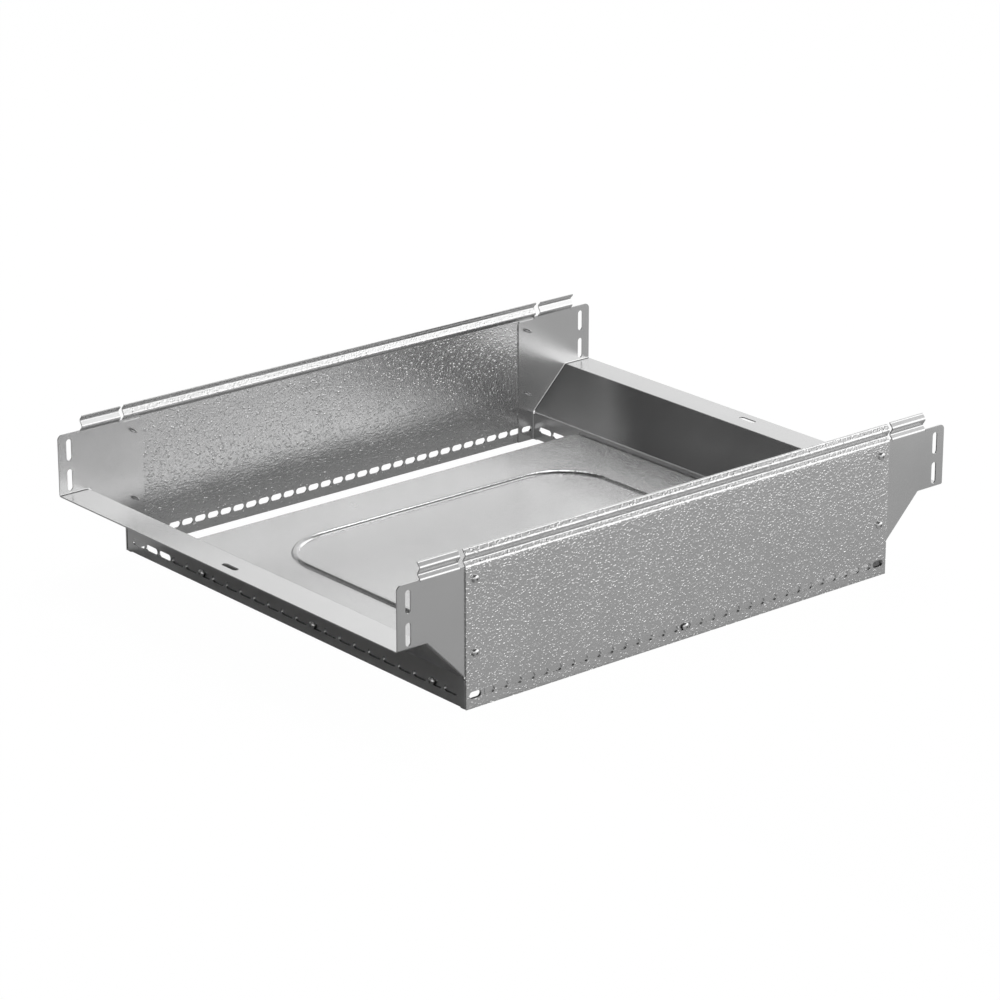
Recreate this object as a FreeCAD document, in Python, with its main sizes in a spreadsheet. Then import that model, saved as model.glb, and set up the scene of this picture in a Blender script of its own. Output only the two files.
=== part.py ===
# Vertical cable tray tee: a straight length of tray whose floor opens into a box below it,
# so that a second tray can drop away through the gap beside the floor plate.
# +X runs along the tray, +Y across it and +Z up, in millimetres.
# The origin is the middle of the rim that the two walls stand on.
import FreeCAD, Part
import Sketcher
import math
import os

V = FreeCAD.Vector
doc = FreeCAD.newDocument("vertical_tray_tee")

# Driving dimensions
SIZES = [
    ("run_length", 600, "length of the box along the run"),
    ("tray_width", 600, "width over the outsides of the walls"),
    ("sheet", 1.5, "thickness of every sheet"),
    ("bend_radius", 1.5, "inside radius of the folds"),
    ("floor_level", 84, "underside of the tray floor above the rim"),
    ("side_height", 71.3, "side of the tray from its underside to the foot of the lip"),
    ("flange_width", 37, "level flange at each end of the run"),
    ("slope_reach", 50, "slope from flange to skirt, along the run"),
    ("slope_fall", 50, "slope from flange to skirt, downwards"),
    ("lap_width", 25, "overlap of an end piece behind a wall"),
    ("lap_drop", 3, "top of the overlap below the foot of the lip"),
    ("cheek_corner", 6, "rounding of a cheek's upper corner"),
    ("lap_corner", 3, "rounding of an overlap's upper corner"),
    ("relief_radius", 2.2, "relief hole where slope, skirt and cheek meet"),
    ("relief_depth", 3.2, "depth of the relief hole from the cheek's outer face"),
    ("skirt_lift", 1, "skirt edge above the rim"),
    ("skirt_foot", 9, "length of skirt at each corner that reaches the rim"),
    ("lip_ledge", 4.3, "how far the lip's lower ledge steps inwards"),
    ("lip_ledge_rise", 4.5, "rise of the lip's lower ledge"),
    ("lip_swell", 4.9, "how far the lip swells outwards again"),
    ("lip_swell_rise", 7.4, "rise of the swell"),
    ("lip_rim", 4.4, "outer face of the lip's rim inside the wall's outer face"),
    ("lip_height", 18, "height of the lip above its foot"),
    ("lip_bend_radius", 2, "inside radius of the lip's bends"),
    ("lip_slit", 0.4, "slit at both ends of a cheek's lip that lets it fold"),
    ("lip_slit_depth", 2.5, "depth of that slit below the lip's foot"),
    ("lip_gap", 6, "gap between a wall's lip and a cheek's lip"),
    ("cheek_lip_length", 51, "length of a cheek's own lip"),
    ("wall_slot_length", 15.5, "slot in a wall"),
    ("wall_slot_pitch", 18, "pitch of the slots along a wall"),
    ("wall_slot_end", 12, "middle of the last slot from the wall's end"),
    ("skirt_slot_length", 22, "slot in a skirt"),
    ("skirt_slot_pitch", 25, "pitch of the slots along a skirt"),
    ("skirt_slot_end", 25, "middle of the last slot from the outside of the wall"),
    ("row_slot_height", 7.5, "height of a slot in the rows"),
    ("row_level", 14.5, "middle of the slot rows above the rim"),
    ("joint_slot_length", 25, "slot for joining the next tray"),
    ("joint_slot_width", 7, "width of a joining slot"),
    ("joint_slot_edge", 14, "middle of a joining slot from the tray's end"),
    ("joint_slot_low", 17, "middle of the lower joining slot above the tray's underside"),
    ("joint_slot_high", 52, "middle of the upper joining slot above the tray's underside"),
    ("outlet_width", 80, "clear gap between floor plate and rear wall"),
    ("plate_level", 28.5, "top of the floor plate above the rim"),
    ("plate_flange", 22, "height of the floor plate's flanges"),
    ("plate_notch", 5, "notch at the corners of the floor plate"),
    ("plate_clearance", 0.5, "gap between the floor plate's front flange and the overlaps"),
    ("bead_margin", 80, "middle of the bead from the floor plate's edges"),
    ("bead_corner", 70, "radius of the bead's corners"),
    ("bead_width", 10, "width of the bead"),
    ("bead_height", 3, "height of the bead"),
    ("screw_diameter", 4.2, "tapping screw"),
    ("screw_length", 13, "tapping screw below its head"),
    ("screw_point", 5, "length of the screw's point"),
    ("screw_head", 8.8, "diameter of the pan head"),
    ("screw_head_height", 3.2, "height of the pan head"),
    ("screw_head_bevel", 1.4, "bevel of the pan head"),
    ("recess_span", 4.6, "span of the cross recess"),
    ("recess_width", 1, "width of the cross recess"),
    ("recess_depth", 1.8, "depth of the cross recess"),
    ("hole_clearance", 0.5, "screw hole over the screw, in a wall"),
    ("tap_clearance", 0.1, "screw hole over the screw, in the sheet that it bites"),
    ("screw_end", 12, "wall screws from the wall's end"),
    ("screw_low", 60, "lower wall screws above the rim"),
    ("screw_high", 140, "upper wall screws above the rim"),
    ("skirt_screw_margin", 45, "least distance of a skirt screw's slot from the floor plate's edge"),
    ("skirt_screw_shift", 5.5, "skirt screw off the middle of its slot, towards the rear"),
]

sheet_page = doc.addObject("Spreadsheet::Sheet", "Sizes")
size = {}
for row, (alias, value, meaning) in enumerate(SIZES, start=1):
    sheet_page.set(f"A{row}", meaning)
    sheet_page.set(f"B{row}", str(value))
    sheet_page.setAlias(f"B{row}", alias)
    size[alias] = value
doc.recompute()

# Places that several pieces share, as expressions on the driving dimensions
RUN_END = "(Sizes.run_length / 2)"
WALL_OUT = "(Sizes.tray_width / 2)"
WALL_IN = "(Sizes.tray_width / 2 - Sizes.sheet)"
SKIRT_IN = "(Sizes.run_length / 2 - Sizes.sheet)"
TRAY_END = "(Sizes.run_length / 2 + Sizes.slope_reach + Sizes.flange_width)"
LIP_FOOT = "(Sizes.floor_level + Sizes.side_height)"
LAP_TOP = f"({LIP_FOOT} - Sizes.lap_drop)"
PLATE_BACK = "(Sizes.tray_width / 2 - Sizes.sheet - Sizes.outlet_width)"
PLATE_FOOT = "(Sizes.plate_level - Sizes.plate_flange)"
BEND_OUT = "Sizes.bend_radius + Sizes.sheet"
LIP_BEND_OUT = "Sizes.lip_bend_radius + Sizes.sheet"

# Slot rows: the last slots keep their place and the rest fill the row at about the pitch,
# with one slot always in the middle
WALL_ROW = "(Sizes.run_length - 2 * Sizes.wall_slot_end)"
WALL_STEPS = f"(2 * round({WALL_ROW} / 2 / Sizes.wall_slot_pitch))"
SKIRT_ROW = "(Sizes.tray_width - 2 * Sizes.skirt_slot_end)"
SKIRT_STEPS = f"(2 * round({SKIRT_ROW} / 2 / Sizes.skirt_slot_pitch))"
SKIRT_STEP = f"({SKIRT_ROW} / {SKIRT_STEPS})"

# Skirt screws: in the slots nearest to the floor plate's edges that leave the margin, and midway
ROW_START = f"({WALL_OUT} - Sizes.skirt_slot_end)"
FIRST_SLOT = f"ceil(({ROW_START} - {WALL_IN} + Sizes.skirt_screw_margin) / {SKIRT_STEP})"
LAST_SLOT = f"floor(({ROW_START} + {PLATE_BACK} - Sizes.skirt_screw_margin) / {SKIRT_STEP})"
MIDDLE_SLOT = f"round(({FIRST_SLOT} + {LAST_SLOT}) / 2)"
SKIRT_SCREWS = [f"-{ROW_START} + {slot} * {SKIRT_STEP} + Sizes.skirt_screw_shift"
                for slot in (FIRST_SLOT, MIDDLE_SLOT, LAST_SLOT)]


# Sketches on a body's own origin planes
def new_sketch(body, role, name, lift=None):
    plane = next(item for item in body.Origin.OriginFeatures if item.Role == role)
    sketch = body.newObject("Sketcher::SketchObject", name)
    sketch.AttachmentSupport = [(plane, "")]
    sketch.MapMode = "FlatFace"
    if lift:
        sketch.setExpression("AttachmentOffset.Base.z", lift)
    return sketch


def hold_point(sketch, geometry, point, across, up):
    """Hold a point of the sketch at two expressions."""
    place = sketch.getPoint(geometry, point)
    for kind, value, expression in (("DistanceX", place.x, across), ("DistanceY", place.y, up)):
        index = sketch.addConstraint(Sketcher.Constraint(kind, geometry, point, value))
        name = f"hold_{index}"
        sketch.renameConstraint(index, name)
        sketch.setExpression(f"Constraints.{name}", expression)


def hold_radius(sketch, geometry, expression):
    value = sketch.Geometry[geometry].Radius
    index = sketch.addConstraint(Sketcher.Constraint("Radius", geometry, value))
    name = f"hold_{index}"
    sketch.renameConstraint(index, name)
    sketch.setExpression(f"Constraints.{name}", expression)


def add_outline(sketch, corners):
    """Closed outline through corners that are pairs of expressions."""
    first = sketch.GeometryCount
    count = len(corners)
    turn = 2 * math.pi / count
    start = [V(math.cos(turn * i), math.sin(turn * i), 0) for i in range(count)]
    for i in range(count):
        sketch.addGeometry(Part.LineSegment(start[i], start[(i + 1) % count]), False)
    for i in range(count):
        after = first + (i + 1) % count
        sketch.addConstraint(Sketcher.Constraint("Coincident", first + i, 2, after, 1))
    for i, (across, up) in enumerate(corners):
        hold_point(sketch, first + i, 1, across, up)


def add_circle(sketch, across, up, diameter):
    index = sketch.addGeometry(Part.Circle(V(0, 0, 0), V(0, 0, 1), 1), False)
    hold_point(sketch, index, 3, across, up)
    hold_radius(sketch, index, f"({diameter}) / 2")


def add_slot(sketch, across, up, length, width, upright=False):
    """Round-ended slot about its middle, lying along the sketch or upright in it."""
    reach = f"(({length}) - ({width})) / 2"
    along = V(0, 1, 0) if upright else V(1, 0, 0)
    side = V(-1, 0, 0) if upright else V(0, 1, 0)
    quarter = math.pi / 2
    lean = quarter if upright else 0
    far = Part.ArcOfCircle(Part.Circle(along * 2, V(0, 0, 1), 1), lean - quarter, lean + quarter)
    near = Part.ArcOfCircle(Part.Circle(along * -2, V(0, 0, 1), 1), lean + quarter, lean + 3 * quarter)
    first = sketch.addGeometry(far, False)
    sketch.addGeometry(Part.LineSegment(along * 2 + side, along * -2 + side), False)
    sketch.addGeometry(near, False)
    sketch.addGeometry(Part.LineSegment(along * -2 - side, along * 2 - side), False)
    for i in range(4):
        after = first + (i + 1) % 4
        sketch.addConstraint(Sketcher.Constraint("Tangent", first + i, 2, after, 1))
    sketch.addConstraint(Sketcher.Constraint("Equal", first, first + 2))
    hold_radius(sketch, first, f"({width}) / 2")
    for arc, sign in ((first, "+"), (first + 2, "-")):
        if upright:
            hold_point(sketch, arc, 3, across, f"{up} {sign} {reach}")
        else:
            hold_point(sketch, arc, 3, f"{across} {sign} {reach}", up)


# Features of a body
def pad(body, sketch, length, name, reverse=False, both_ways=False):
    feature = body.newObject("PartDesign::Pad", name)
    feature.Profile = sketch
    feature.Reversed = reverse
    if both_ways:
        feature.SideType = "Symmetric"
    feature.setExpression("Length", length)
    return feature


def pocket(body, sketch, name, length=None, reverse=False):
    """Cut straight through both ways, or to a depth from the sketch."""
    feature = body.newObject("PartDesign::Pocket", name)
    feature.Profile = sketch
    feature.Reversed = reverse
    if length:
        feature.setExpression("Length", length)
    else:
        feature.Type = "ThroughAll"
        feature.SideType = "Symmetric"
    return feature


def row_of(body, feature, sketch, axis, length, count, name):
    """Repeat a cut in a row that starts at the cut itself."""
    pattern = body.newObject("PartDesign::LinearPattern", name)
    pattern.Originals = [feature]
    pattern.Direction = (sketch, [axis])
    pattern.setExpression("Length", length)
    pattern.setExpression("Occurrences", count)
    body.Tip = pattern
    return pattern


def edge_names(shape, wanted):
    return [f"Edge{i}" for i, edge in enumerate(shape.Edges, start=1) if wanted(edge)]


def face_names(shape, wanted):
    return [f"Face{i}" for i, face in enumerate(shape.Faces, start=1) if wanted(face)]


def near(a, b):
    return abs(a - b) < 1e-4


def round_edges(body, wanted, radius, name):
    """Round those edges of the body's last feature that the test picks out."""
    doc.recompute()
    base = body.Tip
    names = edge_names(base.Shape, wanted)
    if not names:
        raise RuntimeError(f"{name}: no edge to round")
    feature = body.newObject("PartDesign::Fillet", name)
    feature.Base = (base, names)
    feature.setExpression("Radius", radius)
    return feature


def hollow(body, wanted, name):
    """Turn the body's last feature into sheet metal, open at the faces picked out."""
    doc.recompute()
    base = body.Tip
    feature = body.newObject("PartDesign::Thickness", name)
    feature.Base = (base, face_names(base.Shape, wanted))
    feature.setExpression("Value", "Sizes.sheet")
    feature.Reversed = True
    feature.Mode = "Skin"
    feature.Join = "Intersection"
    return feature


def along_axis(edge, axis):
    """True for a straight edge along the axis."""
    if not isinstance(edge.Curve, (Part.Line, Part.LineSegment)):
        return False
    direction = edge.Vertexes[-1].Point - edge.Vertexes[0].Point
    return near(abs(direction.normalize().dot(axis)), 1)


# Lip profile: a ledge in, a swell out, a second ledge in and an upright rim.
# Both its faces are the same zigzag, so the inner one is the outer one moved by one step,
# which keeps the sheet's thickness on the ledges and on the swell alike.
LEDGE = "sqrt(Sizes.lip_ledge ^ 2 + Sizes.lip_ledge_rise ^ 2)"
SWELL = "sqrt(Sizes.lip_swell ^ 2 + Sizes.lip_swell_rise ^ 2)"
CROSSING = "(Sizes.lip_ledge_rise * Sizes.lip_swell + Sizes.lip_ledge * Sizes.lip_swell_rise)"
STEP_IN = f"(Sizes.sheet * (Sizes.lip_swell * {LEDGE} + Sizes.lip_ledge * {SWELL}) / {CROSSING})"
STEP_UP = (f"(Sizes.sheet * (Sizes.lip_ledge_rise * {SWELL} - Sizes.lip_swell_rise * {LEDGE})"
           f" / {CROSSING})")
LEDGE_SLOPE = "(Sizes.lip_ledge_rise / Sizes.lip_ledge)"


def lip_corners():
    """Corners of the lip's two faces as distances in from the wall's outer face, and heights."""
    top = f"{LIP_FOOT} + Sizes.lip_height"
    rim_out = "Sizes.lip_rim"
    rim_in = "(Sizes.lip_rim + Sizes.sheet)"
    valley = ("Sizes.lip_ledge", f"{LIP_FOOT} + Sizes.lip_ledge_rise")
    crest = ("(Sizes.lip_ledge - Sizes.lip_swell)", f"{valley[1]} + Sizes.lip_swell_rise")
    shoulder = (rim_out, f"{crest[1]} + ({rim_out} - {crest[0]}) * {LEDGE_SLOPE}")
    inner_valley = (f"({valley[0]} + {STEP_IN})", f"{valley[1]} + {STEP_UP}")
    inner_crest = (f"({crest[0]} + {STEP_IN})", f"{crest[1]} + {STEP_UP}")
    inner_foot = ("Sizes.sheet", f"{inner_valley[1]} - ({inner_valley[0]} - Sizes.sheet) * {LEDGE_SLOPE}")
    inner_shoulder = (rim_in, f"{inner_crest[1]} + ({rim_in} - {inner_crest[0]}) * {LEDGE_SLOPE}")
    outer = [("0", LIP_FOOT), valley, crest, shoulder, (rim_out, top)]
    inner = [(rim_in, top), inner_shoulder, inner_crest, inner_valley, inner_foot]
    return outer + inner


def add_lip(sketch, side, outer_face, bottom):
    """Section of a wall with its lip, on the side of the tray that the sign gives."""
    section = [("0", bottom)] + lip_corners() + [("Sizes.sheet", bottom)]
    sign = "" if side > 0 else "-"
    add_outline(sketch, [(f"{sign}({outer_face} - ({depth}))", height) for depth, height in section])
    first = sketch.GeometryCount - len(section)
    wide = [first + 1, first + 3, first + 7, first + 9]
    tight = [first + 2, first + 4, first + 8, first + 10]
    return wide, tight


def round_lip(body, sketch, wide, tight, length, name):
    """Round the bends of a lip: wide outside each fold and tight inside it."""
    for corners, radius, kind in ((wide, LIP_BEND_OUT, "wide"), (tight, "Sizes.lip_bend_radius", "tight")):
        doc.recompute()
        places = [sketch.getPoint(index, 1) for index in corners]

        def at_corner(edge):
            if not along_axis(edge, V(1, 0, 0)) or not near(edge.Length, size[length]):
                return False
            point = edge.Vertexes[0].Point
            return any(near(point.y, place.x) and near(point.z, place.y) for place in places)

        round_edges(body, at_corner, radius, f"{name}_{kind}_bends")


def new_body(label):
    body = doc.addObject("PartDesign::Body", label)
    body.Label = label
    return body


# Wall: one sheet the length of the box, slotted along its lower edge, with the lip on top
def make_wall(label, turn):
    body = new_body(label)
    section = new_sketch(body, "YZ_Plane", f"{label}_section")
    wide, tight = add_lip(section, -1, WALL_OUT, "0")
    pad(body, section, "Sizes.run_length", f"{label}_sheet", both_ways=True)
    round_lip(body, section, wide, tight, "run_length", label)

    slot = new_sketch(body, "XZ_Plane", f"{label}_slot")
    add_slot(slot, f"-{RUN_END} + Sizes.wall_slot_end", "Sizes.row_level",
             "Sizes.wall_slot_length", "Sizes.row_slot_height")
    cut = pocket(body, slot, f"{label}_slot_cut")
    row_of(body, cut, slot, "H_Axis", WALL_ROW, f"{WALL_STEPS} + 1", f"{label}_slot_row")

    holes = new_sketch(body, "XZ_Plane", f"{label}_screw_holes")
    for sign in ("-", ""):
        for height in ("Sizes.screw_low", "Sizes.screw_high"):
            add_circle(holes, f"{sign}({RUN_END} - Sizes.screw_end)", height,
                       "Sizes.screw_diameter + Sizes.hole_clearance")
    pocket(body, holes, f"{label}_screw_hole_cut")
    body.Placement = FreeCAD.Placement(V(0, 0, 0), FreeCAD.Rotation(V(0, 0, 1), turn))
    return body


# End piece: flange, slope and skirt folded from one sheet with the cheeks at its two sides
def make_end(label, turn):
    body = new_body(label)
    outside = new_sketch(body, "XZ_Plane", f"{label}_outside")
    add_outline(outside, [
        (f"-{TRAY_END}", "Sizes.floor_level"),
        (f"-{RUN_END} - Sizes.slope_reach", "Sizes.floor_level"),
        (f"-{RUN_END}", "Sizes.floor_level - Sizes.slope_fall"),
        (f"-{RUN_END}", "0"),
        (f"-{RUN_END} + Sizes.lap_width", "0"),
        (f"-{RUN_END} + Sizes.lap_width", LAP_TOP),
        (f"-{RUN_END}", LAP_TOP),
        (f"-{RUN_END}", LIP_FOOT),
        (f"-{TRAY_END}", LIP_FOOT),
    ])
    pad(body, outside, f"2 * {WALL_IN}", f"{label}_block", both_ways=True)

    run_end = size["run_length"] / 2
    tray_end = run_end + size["slope_reach"] + size["flange_width"]
    cheek_out = size["tray_width"] / 2 - size["sheet"]
    skirt_top = size["floor_level"] - size["slope_fall"]
    lip_foot = size["floor_level"] + size["side_height"]
    lap_top = lip_foot - size["lap_drop"]
    lap_end = -run_end + size["lap_width"]

    def at_fold(edge):
        point = edge.Vertexes[0].Point
        flange_fold = near(point.x, -run_end - size["slope_reach"]) and near(point.z, size["floor_level"])
        skirt_fold = near(point.x, -run_end) and near(point.z, skirt_top)
        return along_axis(edge, V(0, 1, 0)) and (flange_fold or skirt_fold)

    def at_cheek_fold(edge):
        middle = edge.CenterOfMass
        on_skirt = near(middle.x, -run_end) and middle.z < skirt_top
        on_slope = middle.x < -run_end and middle.z < size["floor_level"] + 1e-4
        return near(abs(middle.y), cheek_out) and (on_skirt or on_slope)

    def left_open(face):
        box = face.BoundBox
        level = near(box.ZLength, 0) and (near(box.ZMin, 0) or box.ZMin > lap_top - 1e-4)
        upright = near(box.XLength, 0) and (near(box.XMin, -tray_end) or near(box.XMin, lap_end)
                                            or box.ZMin > lap_top - 1e-4)
        return level or upright

    round_edges(body, at_fold, "Sizes.bend_radius", f"{label}_folds")
    round_edges(body, at_cheek_fold, BEND_OUT, f"{label}_cheek_folds")
    hollow(body, left_open, f"{label}_sheet")

    # Upper corners of the cheeks and of the overlaps
    def at_cheek_corner(edge):
        point = edge.Vertexes[0].Point
        return along_axis(edge, V(0, 1, 0)) and near(point.x, -tray_end) and near(point.z, lip_foot)

    def at_lap_corner(edge):
        point = edge.Vertexes[0].Point
        return along_axis(edge, V(0, 1, 0)) and near(point.x, lap_end) and near(point.z, lap_top)

    round_edges(body, at_cheek_corner, "Sizes.cheek_corner", f"{label}_cheek_corners")
    round_edges(body, at_lap_corner, "Sizes.lap_corner", f"{label}_lap_corners")

    # Lips of the two cheeks, in the place of the plain sheet at the top
    lip_from = f"-{RUN_END} - Sizes.lip_gap - Sizes.cheek_lip_length"
    lip_to = f"-{RUN_END} - Sizes.lip_gap"
    lip_bottom = f"{LIP_FOOT} - Sizes.lip_slit_depth"
    above = f"{LIP_FOOT} + Sizes.lip_slit_depth"
    gap = new_sketch(body, "XZ_Plane", f"{label}_lip_place")
    add_outline(gap, [(f"{lip_from} - Sizes.lip_slit", lip_bottom), (f"{lip_to} + Sizes.lip_slit", lip_bottom),
                      (f"{lip_to} + Sizes.lip_slit", above), (f"{lip_from} - Sizes.lip_slit", above)])
    pocket(body, gap, f"{label}_lip_place_cut")
    lips = new_sketch(body, "YZ_Plane", f"{label}_lips", lift=lip_from)
    front_wide, front_tight = add_lip(lips, -1, WALL_IN, lip_bottom)
    rear_wide, rear_tight = add_lip(lips, 1, WALL_IN, lip_bottom)
    pad(body, lips, "Sizes.cheek_lip_length", f"{label}_lip_sheet")
    round_lip(body, lips, front_wide + rear_wide, front_tight + rear_tight, "cheek_lip_length", label)

    # Skirt edge, clear of the rim between its two feet
    edge = new_sketch(body, "YZ_Plane", f"{label}_skirt_edge")
    foot = f"({WALL_OUT} - Sizes.skirt_foot)"
    add_outline(edge, [(f"-{foot}", "0"), (foot, "0"),
                       (f"{foot} - Sizes.skirt_lift", "Sizes.skirt_lift"),
                       (f"-{foot} + Sizes.skirt_lift", "Sizes.skirt_lift")])
    pocket(body, edge, f"{label}_skirt_edge_cut")

    # Relief holes at the two corners where slope, skirt and cheek meet
    relief = new_sketch(body, "XZ_Plane", f"{label}_relief", lift=WALL_IN)
    add_circle(relief, f"-{RUN_END}", "Sizes.floor_level - Sizes.slope_fall", "2 * Sizes.relief_radius")
    relief_cut = pocket(body, relief, f"{label}_relief_cut", length="Sizes.relief_depth")
    both = body.newObject("PartDesign::Mirrored", f"{label}_reliefs")
    both.Originals = [relief_cut]
    both.MirrorPlane = (next(p for p in body.Origin.OriginFeatures if p.Role == "XZ_Plane"), [""])
    body.Tip = both

    # Joining slots in the cheeks, and the slot and screw holes of the overlaps
    cheeks = new_sketch(body, "XZ_Plane", f"{label}_cheek_holes")
    for height in ("Sizes.joint_slot_low", "Sizes.joint_slot_high"):
        add_slot(cheeks, f"-{TRAY_END} + Sizes.joint_slot_edge", f"Sizes.floor_level + {height}",
                 "Sizes.joint_slot_length", "Sizes.joint_slot_width", upright=True)
    add_slot(cheeks, f"-{RUN_END} + Sizes.wall_slot_end", "Sizes.row_level",
             "Sizes.wall_slot_length", "Sizes.row_slot_height")
    for height in ("Sizes.screw_low", "Sizes.screw_high"):
        add_circle(cheeks, f"-{RUN_END} + Sizes.screw_end", height,
                   "Sizes.screw_diameter + Sizes.tap_clearance")
    pocket(body, cheeks, f"{label}_cheek_hole_cut")

    # Joining slot in the flange
    flange = new_sketch(body, "XY_Plane", f"{label}_flange_slot")
    add_slot(flange, f"-{TRAY_END} + Sizes.joint_slot_edge", "0",
             "Sizes.joint_slot_length", "Sizes.joint_slot_width", upright=True)
    pocket(body, flange, f"{label}_flange_slot_cut")

    # Slot row of the skirt
    slot = new_sketch(body, "YZ_Plane", f"{label}_skirt_slot")
    add_slot(slot, f"-{ROW_START}", "Sizes.row_level",
             "Sizes.skirt_slot_length", "Sizes.row_slot_height")
    cut = pocket(body, slot, f"{label}_skirt_slot_cut")
    row_of(body, cut, slot, "H_Axis", SKIRT_ROW, f"{SKIRT_STEPS} + 1", f"{label}_skirt_slot_row")
    body.Placement = FreeCAD.Placement(V(0, 0, 0), FreeCAD.Rotation(V(0, 0, 1), turn))
    return body


# Floor plate: a shallow pan upside down, stiffened by a raised bead all round
def make_floor_plate(label):
    body = new_body(label)
    plan = new_sketch(body, "XY_Plane", f"{label}_plan", lift=PLATE_FOOT)
    add_outline(plan, [(f"-{SKIRT_IN}", f"-{WALL_IN}"), (SKIRT_IN, f"-{WALL_IN}"),
                       (SKIRT_IN, PLATE_BACK), (f"-{SKIRT_IN}", PLATE_BACK)])
    pad(body, plan, "Sizes.plate_flange", f"{label}_block")

    level = size["plate_level"]
    foot = level - size["plate_flange"]
    round_edges(body, lambda edge: near(edge.BoundBox.ZMax, level), BEND_OUT, f"{label}_folds")
    hollow(body, lambda face: near(face.BoundBox.ZMax, foot), f"{label}_sheet")

    # Notches at the four corners, where the folds would meet; the front ones also clear the overlaps
    notches = new_sketch(body, "XY_Plane", f"{label}_notches", lift=PLATE_FOOT)
    for across in ("-", ""):
        end = f"{across}{SKIRT_IN}"
        inner = f"{across}({SKIRT_IN} - Sizes.plate_notch)"
        past_lap = f"{across}({RUN_END} - Sizes.lap_width - Sizes.plate_clearance)"
        add_outline(notches, [(end, f"-{WALL_IN}"), (past_lap, f"-{WALL_IN}"),
                              (past_lap, f"-{WALL_IN} + Sizes.plate_notch"),
                              (end, f"-{WALL_IN} + Sizes.plate_notch")])
        add_outline(notches, [(end, PLATE_BACK), (inner, PLATE_BACK),
                              (inner, f"{PLATE_BACK} - Sizes.plate_notch"),
                              (end, f"{PLATE_BACK} - Sizes.plate_notch")])
    pocket(body, notches, f"{label}_notch_cut")

    # Bead: a rounded ridge swept round the plate, with its hollow underneath
    half_along = f"({SKIRT_IN} - Sizes.bead_margin)"
    front = f"(-{WALL_IN} + Sizes.bead_margin)"
    back = f"({PLATE_BACK} - Sizes.bead_margin)"
    path = new_sketch(body, "XY_Plane", f"{label}_bead_path", lift="Sizes.plate_level")
    side = size["run_length"] / 2 - size["sheet"] - size["bead_margin"]
    ends = (-size["tray_width"] / 2 + size["sheet"] + size["bead_margin"],
            size["tray_width"] / 2 - size["sheet"] - size["outlet_width"] - size["bead_margin"])
    draw_rounded_rectangle(path, side, *ends, size["bead_corner"])
    hold_radius(path, 1, "Sizes.bead_corner")
    hold_point(path, 1, 3, f"{half_along} - Sizes.bead_corner", f"{front} + Sizes.bead_corner")
    hold_point(path, 5, 3, f"-({half_along} - Sizes.bead_corner)", f"{back} - Sizes.bead_corner")
    arc_radius = ("((Sizes.bead_width ^ 2 / 4 + Sizes.bead_height ^ 2)"
                  " / (2 * Sizes.bead_height))")
    centre_level = f"(Sizes.plate_level + Sizes.bead_height - {arc_radius})"
    ridge = new_sketch(body, "YZ_Plane", f"{label}_bead_ridge")
    add_ridge(ridge, back, centre_level, arc_radius)
    sweep(body, "PartDesign::AdditivePipe", ridge, path, f"{label}_bead")
    groove = new_sketch(body, "YZ_Plane", f"{label}_bead_groove")
    add_circle(groove, back, centre_level, f"2 * ({arc_radius} - Sizes.sheet)")
    sweep(body, "PartDesign::SubtractivePipe", groove, path, f"{label}_bead_hollow")

    # Screw holes in the flanges
    sides = new_sketch(body, "YZ_Plane", f"{label}_side_holes")
    for place in SKIRT_SCREWS:
        add_circle(sides, place, "Sizes.row_level", "Sizes.screw_diameter + Sizes.tap_clearance")
    pocket(body, sides, f"{label}_side_hole_cut")
    front_hole = new_sketch(body, "XZ_Plane", f"{label}_front_hole", lift=WALL_IN)
    add_circle(front_hole, "0", "Sizes.row_level", "Sizes.screw_diameter + Sizes.tap_clearance")
    pocket(body, front_hole, f"{label}_front_hole_cut", length="2 * Sizes.sheet")
    return body


def draw_rounded_rectangle(sketch, side, front, back, corner):
    """Closed path of four straight runs joined by quarter circles, level with the sketch."""
    centres = [(side - corner, front + corner), (side - corner, back - corner),
               (corner - side, back - corner), (corner - side, front + corner)]
    quarter = math.pi / 2
    for i, (across, up) in enumerate(centres):
        before = centres[i - 1]
        out = V(math.cos((i - 1) * quarter), math.sin((i - 1) * quarter), 0) * corner
        sketch.addGeometry(Part.LineSegment(V(*before, 0) + out, V(across, up, 0) + out), False)
        circle = Part.Circle(V(across, up, 0), V(0, 0, 1), corner)
        sketch.addGeometry(Part.ArcOfCircle(circle, (i - 1) * quarter, i * quarter), False)
    for i in range(8):
        sketch.addConstraint(Sketcher.Constraint("Tangent", i, 2, (i + 1) % 8, 1))
    for arc in (3, 5, 7):
        sketch.addConstraint(Sketcher.Constraint("Equal", 1, arc))
    for line in (0, 4):
        sketch.addConstraint(Sketcher.Constraint("Horizontal", line))
    for line in (2, 6):
        sketch.addConstraint(Sketcher.Constraint("Vertical", line))


def add_ridge(sketch, across, centre_level, radius):
    """Section of the bead above the plate, rooted in the middle of the sheet."""
    root = "Sizes.plate_level - Sizes.sheet / 2"
    arc = Part.ArcOfCircle(Part.Circle(V(0, 0, 0), V(0, 0, 1), 4), math.radians(30), math.radians(150))
    rise = 4 * math.sin(math.radians(30))
    reach = 4 * math.cos(math.radians(30))
    corners = [V(-reach, rise, 0), V(-reach, rise - 1, 0), V(reach, rise - 1, 0), V(reach, rise, 0)]
    sketch.addGeometry(arc, False)
    for start, end in zip(corners, corners[1:]):
        sketch.addGeometry(Part.LineSegment(start, end), False)
    for i in range(4):
        sketch.addConstraint(Sketcher.Constraint("Coincident", i, 2, (i + 1) % 4, 1))
    hold_point(sketch, 0, 3, across, centre_level)
    hold_radius(sketch, 0, radius)
    hold_point(sketch, 2, 1, f"{across} - Sizes.bead_width / 2", root)
    hold_point(sketch, 2, 2, f"{across} + Sizes.bead_width / 2", root)
    for side in (1, 3):
        sketch.addConstraint(Sketcher.Constraint("Vertical", side))


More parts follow.
